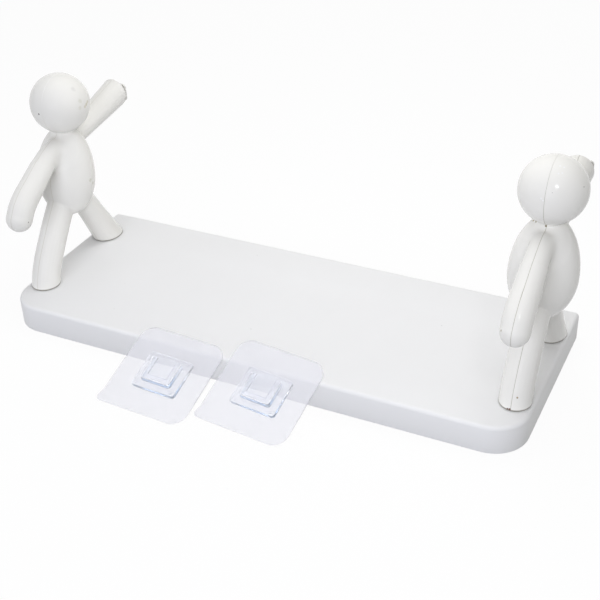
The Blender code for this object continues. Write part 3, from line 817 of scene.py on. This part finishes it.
def cut_away(piece, place, normal):
    """Cut a closed piece flat and drop what lies beyond the plane."""
    edit_all(piece)
    bpy.ops.mesh.bisect(plane_co=place, plane_no=normal, use_fill=True, clear_outer=True)
    leave_edit_mode()


def hand_key(figure):
    """The T key behind the raised hand."""
    stem_back = figure.hand_plane + figure.key_stem
    half_height = figure.key_height / 2 - figure.key_corner
    half_width = figure.stem_width / 2
    plate = rounded_slab(
        "key_plate", figure.key_width, figure.key_height, [figure.key_corner] * 4,
        0.0, figure.key_thickness, figure.key_bevel, corner_segments=KEY_CORNER_STEPS)
    set_down(plate, (0.0, stem_back, figure.key_middle), (-math.pi / 2, 0.0, 0.0))
    stem = block(
        "key_stem", (-half_width, figure.hand_plane - figure.key_stem, figure.key_middle - half_height),
        (half_width, stem_back + figure.key_thickness / 2, figure.key_middle + half_height))
    return boolean(plate, stem, "UNION")


def whole_figure(figure):
    """The figure as one body: head, torso and limbs blended, flat feet, flat hand end and its key."""
    width, depth, above = figure.torso_size
    torso = egg("figure", width, depth, figure.torso_below, above)
    set_down(torso, figure.torso_place, (-figure.torso_lean, 0.0, 0.0))
    radius = figure.head_radius
    head = set_down(egg("head", radius, radius, radius, radius), figure.head_place)
    y, z, hand_radius = LIMB_ROUTES["front_arm"][-1]
    hand = egg("hand", hand_radius, hand_radius, hand_radius, hand_radius)
    set_down(hand, (0.0, y, z))
    limbs = [round_limb(name, route) for name, route in LIMB_ROUTES.items()]
    take(torso, head, hand, *limbs)
    bpy.ops.object.join()
    body = bpy.context.active_object
    use_modifier(body, "REMESH", mode="VOXEL", voxel_size=figure.voxel, use_smooth_shade=True)
    use_modifier(body, "SMOOTH", factor=SMOOTHING, iterations=figure.blend_passes)
    edit(body)
    root = Vector(figure.root_place)
    head_middle = Vector(figure.head_place)
    clear_of_head = radius + figure.head_margin
    pick(body, "verts", lambda point: (point.co - root).length < figure.root_reach
         and (point.co - head_middle).length > clear_of_head)
    bpy.ops.mesh.vertices_smooth(factor=SMOOTHING, repeat=figure.root_passes)
    leave_edit_mode()
    cut_away(body, (0.0, 0.0, 0.0), (0.0, 0.0, -1.0))
    cut_away(body, (0.0, figure.hand_plane, 0.0), (0.0, 1.0, 0.0))
    boolean(body, hand_key(figure), "UNION")
    return body


# colours that more than one mark has
PALE_SMEAR = (0.74, 0.73, 0.70)
NECK_SMEAR = (0.68, 0.65, 0.55)
ARM_SMEAR = (0.66, 0.65, 0.58)
TICK = (0.90, 0.90, 0.90)
# the pale colour of a painted reflection of striped light
STRIPE_REFLECTION = (0.87, 0.87, 0.87)
# the dark colour of painted shade at a foot's tip
FOOT_TIP_SHADE = (0.16, 0.09, 0.07)
# the dark olive colour of painted shade in the neck crease
NECK_CREASE_SHADE = (0.40, 0.36, 0.25)
# where each scuff, speck, spot of painted shade and painted reflection lies, its reach, how far noise breaks
# it up, and its colour
MARKS = {
    "left": (
        ((-0.1709, -0.0134, 0.1356), 0.0009, 0.5, (0.16, 0.15, 0.14)),
        ((-0.1532, 0.0037, 0.1493), 0.0026, 1.0, PALE_SMEAR),
        ((-0.1518, 0.0042, 0.1488), 0.0018, 1.0, PALE_SMEAR),
        ((-0.1490, 0.0038, 0.1415), 0.0026, 0.9, (0.73, 0.72, 0.66)),
        ((-0.1488, 0.0111, 0.1381), 0.0016, 0.5, NECK_SMEAR),
        ((-0.1483, 0.0090, 0.1372), 0.0016, 0.5, (0.66, 0.63, 0.52)),
        ((-0.1481, 0.0070, 0.1363), 0.0014, 0.5, NECK_SMEAR),
        ((-0.1486, 0.0022, 0.1372), 0.0024, 0.9, (0.74, 0.73, 0.67)),
        ((-0.1475, 0.0004, 0.0851), 0.0026, 1.2, ARM_SMEAR),
        ((-0.1477, 0.0030, 0.0816), 0.0022, 1.2, ARM_SMEAR),
        ((-0.1597, -0.0547, 0.0776), 0.0006, 0.2, (0.30, 0.29, 0.26)),
    ),
    "right": (
        ((0.1662, -0.0132, 0.1396), 0.0008, 0.8, TICK),
        ((0.1674, -0.0134, 0.1387), 0.0008, 0.8, TICK),
        # painted reflection of striped light on top of the right head
        ((0.1726, -0.0051, 0.1520), 0.0008, 1.0, STRIPE_REFLECTION),
        ((0.1743, -0.0039, 0.1522), 0.0008, 1.0, STRIPE_REFLECTION),
        ((0.1743, -0.0004, 0.1540), 0.0008, 1.0, STRIPE_REFLECTION),
        ((0.1720, -0.0007, 0.1546), 0.0008, 1.0, STRIPE_REFLECTION),
        # painted shade at the front foot's tip, where it meets the board
        ((0.1677, -0.0486, 0.0201), 0.0009, 0.4, FOOT_TIP_SHADE),
        ((0.1664, -0.0484, 0.0200), 0.0007, 0.4, FOOT_TIP_SHADE),
        # painted shade in the right figure's neck crease
        ((0.1593, 0.0034, 0.1162), 0.0011, 0.5, NECK_CREASE_SHADE),
        ((0.1613, 0.0012, 0.1170), 0.0011, 0.5, NECK_CREASE_SHADE),
        ((0.1764, -0.0032, 0.1200), 0.0013, 0.5, NECK_CREASE_SHADE),
        ((0.1778, -0.0012, 0.1197), 0.0013, 0.5, NECK_CREASE_SHADE),
        ((0.1858, 0.0007, 0.1438), 0.0005, 0.2, (0.42, 0.41, 0.38)),
        ((0.1678, -0.0018, 0.1170), 0.0008, 0.2, (0.26, 0.23, 0.14)),
        ((0.1617, -0.0585, 0.0799), 0.0009, 0.5, (0.40, 0.37, 0.27)),
        ((0.1710, -0.0461, 0.0277), 0.0008, 0.4, (0.36, 0.28, 0.18)),
    ),
}
BOARD_MARKS = (
    ((-0.0097, -0.0328, 0.0190), 0.0005, 0.2, (0.60, 0.60, 0.60)),
    ((0.1024, 0.0188, 0.0190), 0.0005, 0.2, (0.62, 0.62, 0.62)),
)
# the colours of each figure's parting line, and their strengths below and on the head; the left figure's pale
# line on its head is a painted highlight along the seam's rim
SEAMS_AND_SEAM_HIGHLIGHT = {
    "left": (((0.52, 0.49, 0.38), 0.55, 0.0), ((0.92, 0.92, 0.91), 0.0, 0.6)),
    "right": (((0.44, 0.41, 0.31), 0.62, 0.15),),
}


class SHELF_OT_figures(bpy.types.Operator):
    """Model both figures, each as two half shells that meet on its parting plane"""
    bl_idname = "shelf.figures"
    bl_label = "Figures"

    def execute(self, context):
        figure = context.scene.shelf_figure
        colours = context.scene.shelf_finish
        body = whole_figure(figure)
        foot_plane = BOARD_HIGH[2] + figure.seat
        for side, outward, gap in (("left", -1, figure.left_gap), ("right", 1, figure.right_gap)):
            middle = screw_place(side + "_front_foot_screw")[0]
            seams_and_painted_light = (middle, SEAMS_AND_SEAM_HIGHLIGHT[side])
            finish = white_moulding(side + "_gloss_white", colours.figure, FIGURE_ROUGH, MARKS[side], seams_and_painted_light)
            for half, way in (("outer", outward), ("inner", -outward)):
                shell = copy_of(body, side + "_" + half + "_shell")
                cut_away(shell, (way * gap / 2, 0.0, 0.0), (-way, 0.0, 0.0))
                face_outwards(shell)
                set_down(shell, (middle, 0.0, foot_plane))
                smooth_shade(shell)
                finish_piece(shell, finish, "shelf", [side + "_figure_" + half + "_half"])
        bpy.data.objects.remove(body, do_unlink=True)
        return {"FINISHED"}


# each pad's slope against the board's front edge, and its turn
PAD_TURNS = {
    "left": (math.radians(19.5), math.radians(-2.9)),
    "right": (math.radians(22.2), math.radians(-5.1)),
}
# how finely the CAD draws the film's corners
OUTLINE_STEPS = 6
# how far past the peel tab's corner its points are picked, and how the film's rims are bevelled
TAB_MARGIN = 0.0001
RIM_ANGLE = 1.0
RIM_PARTS = 5
# the block's corners, and how far its cutters and its pips reach
BLOCK_CORNER = 0.0020
COLLAR_CORNER = 0.0010
OVERLAP = 0.0002
MOUTH_BEVEL = 0.0003
PIP_INSET = (0.0032, 0.0022)
PIP_ROOT = 0.0005
PIP_RISE = 0.0003
PIP_BEVEL = 0.0002


def film_points(pad):
    """Points round both faces of the film, with the outline that the CAD draws."""
    points = []
    half = pad.size / 2
    radii = (pad.tab_radius, *[pad.corner_radius] * 3)
    for number, ((side_x, side_y), radius) in enumerate(zip(CORNERS, radii)):
        flare = 0.0 if number else pad.tab_flare
        for step in range(OUTLINE_STEPS + 1):
            angle = math.pi + number * math.pi / 2 + step / OUTLINE_STEPS * math.pi / 2
            x = side_x * (half - radius) + radius * math.cos(angle) - flare
            y = side_y * (half - radius) + radius * math.sin(angle) + half
            points.extend((Vector((x, y, 0.0)), Vector((x, y, pad.film))))
    return points


def pad_matrix(side, pad):
    """A pad's place, from its slope and turn and the lowest corner of its CAD film's box."""
    slope, turn = PAD_TURNS[side]
    rotation = Matrix.Rotation(slope, 4, "X") @ Matrix.Rotation(turn, 4, "Z")
    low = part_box(side + "_pad_film")[0]
    points = [rotation @ point for point in film_points(pad)]
    reach = Vector([min(point[axis] for point in points) for axis in range(3)])
    return Matrix.Translation(Vector(low) - reach) @ rotation


def pad_film(name, pad):
    """The clear film with its flared peel tab."""
    radii = (pad.tab_radius, *[pad.corner_radius] * 3)
    film = rounded_slab(name, pad.size, pad.size, radii, 0.0, pad.film)
    half = pad.size / 2
    edit_all(film)
    bpy.ops.mesh.bisect(plane_co=(0.0, pad.tab_length - half, 0.0), plane_no=(0.0, 1.0, 0.0))
    tab_side = pad.tab_radius - half + TAB_MARGIN
    tab_top = 2 * pad.tab_radius - half
    pick(film, "verts", lambda point: point.co.x < tab_side and point.co.y < tab_top)
    bpy.ops.transform.translate(value=(-pad.tab_flare, 0.0, 0.0))
    pick(film, "edges", lambda edge: is_level(edge)
         and edge.is_manifold and edge.calc_face_angle(0.0) > RIM_ANGLE)
    bpy.ops.mesh.bevel(offset=pad.film / RIM_PARTS, segments=BEVEL_STEPS, affect="EDGES")
    leave_edit_mode()
    return set_down(film, (0.0, half, 0.0))


def hook_block(name, pad):
    """The moulded block: a bevelled base with pips, and a pocket with lips that is open at its top."""
    low = pad.film + pad.laminate_gap
    width, height, thickness = pad.block_size
    base_top = low + thickness
    base = rounded_slab(
        name, width, height, [BLOCK_CORNER] * 4, low, base_top, pad.block_bevel,
        corner_segments=BLOCK_CORNER_STEPS)
    inside_width, inside_height, inside_depth = pad.pocket_size
    ceiling = base_top + inside_depth
    top = ceiling + pad.lip_thickness
    outer_width = inside_width + 2 * pad.pocket_wall
    outer_height = inside_height + pad.pocket_wall
    collar = rounded_slab(
        "collar", outer_width, outer_height, (BLOCK_CORNER, BLOCK_CORNER, COLLAR_CORNER, COLLAR_CORNER),
        low + thickness / 2, top, pad.block_bevel, corner_segments=BLOCK_CORNER_STEPS)
    shift = -pad.pocket_shift
    boolean(base, set_down(collar, (0.0, shift, 0.0)), "UNION")
    bottom = shift + pad.pocket_wall - outer_height / 2
    past = shift + outer_height / 2 + pad.pocket_wall
    half = inside_width / 2
    room = block("room", (-half, bottom, base_top - OVERLAP), (half, past, ceiling))
    boolean(base, room, "DIFFERENCE")
    lip = pad.pocket_lip
    mouth = block(
        "mouth", (lip - half, bottom + lip, base_top + inside_depth / 2), (half - lip, past, top + lip),
        MOUTH_BEVEL)
    boolean(base, mouth, "DIFFERENCE")
    for side_x in (-1, 1):
        for side_y in (-1, 1):
            place = (side_x * (width / 2 - PIP_INSET[0]), side_y * (height / 2 - PIP_INSET[1]))
            pip = round_bar("pip", pad.pip_radius, place, base_top - PIP_ROOT, base_top + PIP_RISE, PIP_BEVEL)
            boolean(base, pip, "UNION")
    face_outwards(base)
    return set_down(base, pad.block_place)


class SHELF_OT_pads(bpy.types.Operator):
    """Model both stick-on pads: film, hook block, glue and liner"""
    bl_idname = "shelf.pads"
    bl_label = "Pads"

    def execute(self, context):
        pad = context.scene.shelf_pad
        colours = context.scene.shelf_finish
        sheet = (colours.film, colours.film_edge_shade)
        block_colours = (colours.block, colours.block_wall, colours.block_near)
        for side in PAD_TURNS:
            place = pad_matrix(side, pad)
            body = side + "_pad"
            lie = (place.to_3x3() @ Vector((0.0, 0.0, 1.0)), place @ Vector(pad.block_place))
            film_finish = clear_sheet(side, "clear_film", sheet, lie)
            block_finish = clear_moulding(side + "_clear_block", block_colours, lie)
            film = pad_film(side + "_film_sheet", pad)
            hook = hook_block(side + "_block_moulding", pad)
            for piece in (film, hook):
                piece.matrix_world = place
                settle(piece)
                smooth_shade(piece)
            finish_piece(film, film_finish, body, [side + "_pad_film"])
            finish_piece(hook, block_finish, body, [side + "_hook_block"])
            for node, kind in (("_pad_adhesive", "clear_glue"), ("_pad_liner", "pale_liner")):
                finish = clear_sheet(side, kind, sheet, lie)
                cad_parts[side + node].material_slots[0].material = finish
        return {"FINISHED"}


class SHELF_OT_screws(bpy.types.Operator):
    """Give the foot screws their plated steel"""
    bl_idname = "shelf.screws"
    bl_label = "Foot Screws"

    def execute(self, context):
        finish = steel_finish(context.scene.shelf_finish.steel)
        for name in SCREWS:
            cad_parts[name].material_slots[0].material = finish
        return {"FINISHED"}


# where the lamps point, and each one's power setting, size and place
LAMP_AIM = (0.0, 0.0, 0.05)
LAMPS = {
    "over_softbox": ("over_power", 0.8, (0.0, 0.25, 1.0)),
    "front_softbox": ("front_power", 0.7, (0.1, -1.15, 0.35)),
    "left_softbox": ("left_power", 0.9, (-0.9, -0.8, 0.5)),
    "middle_softbox": ("middle_power", 0.25, (0.02, 0.12, 0.32)),
    "spark_lamp": ("spark_power", 0.04, (0.264, -0.219, 0.309)),
}
COOL_LAMPS = ("front_softbox", "left_softbox")
GLEAMING_LAMP = "spark_lamp"
# how far the floor lies under the shelf, and its plain white and roughness
FLOOR_DROP = 0.0002
FLOOR_WHITE = (0.95, 0.95, 0.95)
FLOOR_ROUGH = 0.9
# the camera's sensor in millimetres, and the nearest that it sees
SENSOR_WIDTH = 36.0
NEAREST_SEEN = 0.01


def softbox(name, power, size, place):
    """A square lamp turned to the shelf, unseen itself, and seen in gloss only where it gleams."""
    lamp = added(name, bpy.ops.object.light_add, type="AREA", location=place)
    lamp.data.energy = power
    lamp.data.size = size
    lamp.rotation_euler = (Vector(place) - Vector(LAMP_AIM)).to_track_quat("Z", "Y").to_euler()
    lamp.visible_camera = False
    lamp.visible_glossy = name == GLEAMING_LAMP
    return lamp


def pale_floor(stage):
    """A white floor to the camera that keeps a soft share of the object's shadow."""
    material, tree, shader = new_material("studio_floor", FLOOR_WHITE, FLOOR_ROUGH)
    bounce = [stage.floor_bounce] * 3
    feed(tree, shader.inputs["Base Color"], mixed(tree, seen_ray(tree, SEEN[0]), bounce, FLOOR_WHITE))
    glow = add_node(tree, "Emission", Strength=1.0)
    mix = add_node(tree, "MixShader", Fac=maths(tree, "MULTIPLY", seen_ray(tree, *SEEN), stage.floor_glow))
    feed(tree, mix.inputs[1], shader.outputs["BSDF"])
    feed(tree, mix.inputs[2], glow.outputs["Emission"])
    feed(tree, tree.nodes["Material Output"].inputs["Surface"], mix.outputs["Shader"])
    return material


def studio_world(stage):
    """A studio seen as plain white, whose light is stronger from either side."""
    world = bpy.data.worlds.new("studio")
    bpy.context.scene.world = world
    world.use_nodes = True
    tree = world.node_tree
    back = tree.nodes["Background"]
    back.inputs["Color"].default_value = (1.0, 1.0, 1.0, 1.0)
    where = add_node(tree, "TexCoord").outputs["Generated"]
    across = add_node(tree, "SeparateXYZ", Vector=where).outputs["X"]
    light = ranged(tree, maths(tree, "MULTIPLY", across, across), stage.sky, stage.side_sky)
    feed(tree, back.inputs["Strength"], ranged(tree, seen_ray(tree, *SEEN), light, 1.0))


class SHELF_OT_stage(bpy.types.Operator):
    """Set the floor, the lights and the camera"""
    bl_idname = "shelf.stage"
    bl_label = "Stage"

    def execute(self, context):
        stage = context.scene.shelf_stage
        under = (0.0, 0.0, -FLOOR_DROP)
        floor = added(
            "studio_floor", bpy.ops.mesh.primitive_plane_add, size=stage.floor_size, location=under)
        floor.data.materials.append(pale_floor(stage))
        settle(floor)
        studio_world(stage)
        for name, (power, size, place) in LAMPS.items():
            lamp = softbox(name, getattr(stage, power), size, place)
            if name in COOL_LAMPS:
                lamp.data.color = stage.front_tint
        camera = added("photo_camera", bpy.ops.object.camera_add, location=stage.camera_place)
        turn = (
            Matrix.Rotation(stage.azimuth, 3, "Z")
            @ Matrix.Rotation(math.pi / 2 - stage.elevation, 3, "X")
            @ Matrix.Rotation(stage.roll, 3, "Z"))
        camera.rotation_euler = turn.to_euler()
        camera.data.lens = stage.lens
        camera.data.sensor_width = SENSOR_WIDTH
        camera.data.clip_start = NEAREST_SEEN
        context.scene.camera = camera
        context.scene.view_settings.view_transform = "Standard"
        context.scene.cycles.transparent_max_bounces = stage.clear_layers
        return {"FINISHED"}


class SHELF_PT_panel(bpy.types.Panel):
    """Wall shelf tools"""
    bl_idname = "SHELF_PT_panel"
    bl_label = "Wall Shelf"
    bl_space_type = "VIEW_3D"
    bl_region_type = "UI"
    bl_category = "Wall Shelf"

    def draw(self, context):
        for operator in OPERATORS:
            self.layout.operator(operator.bl_idname)


SETTINGS = {
    "shelf_board": BoardSettings,
    "shelf_figure": FigureSettings,
    "shelf_pad": PadSettings,
    "shelf_finish": FinishSettings,
    "shelf_stage": StageSettings,
}
OPERATORS = (SHELF_OT_stage, SHELF_OT_board, SHELF_OT_figures, SHELF_OT_screws, SHELF_OT_pads)


def register():
    for group in (*SETTINGS.values(), *OPERATORS, SHELF_PT_panel):
        bpy.utils.register_class(group)
    for name, group in SETTINGS.items():
        setattr(bpy.types.Scene, name, PointerProperty(type=group))


def unregister():
    for name in SETTINGS:
        delattr(bpy.types.Scene, name)
    for group in reversed((*SETTINGS.values(), *OPERATORS, SHELF_PT_panel)):
        bpy.utils.unregister_class(group)


def main():
    register()
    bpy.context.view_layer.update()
    bpy.ops.shelf.stage()
    bpy.ops.shelf.board()
    bpy.ops.shelf.figures()
    bpy.ops.shelf.screws()
    bpy.ops.shelf.pads()


if __name__ == "__main__":
    main()
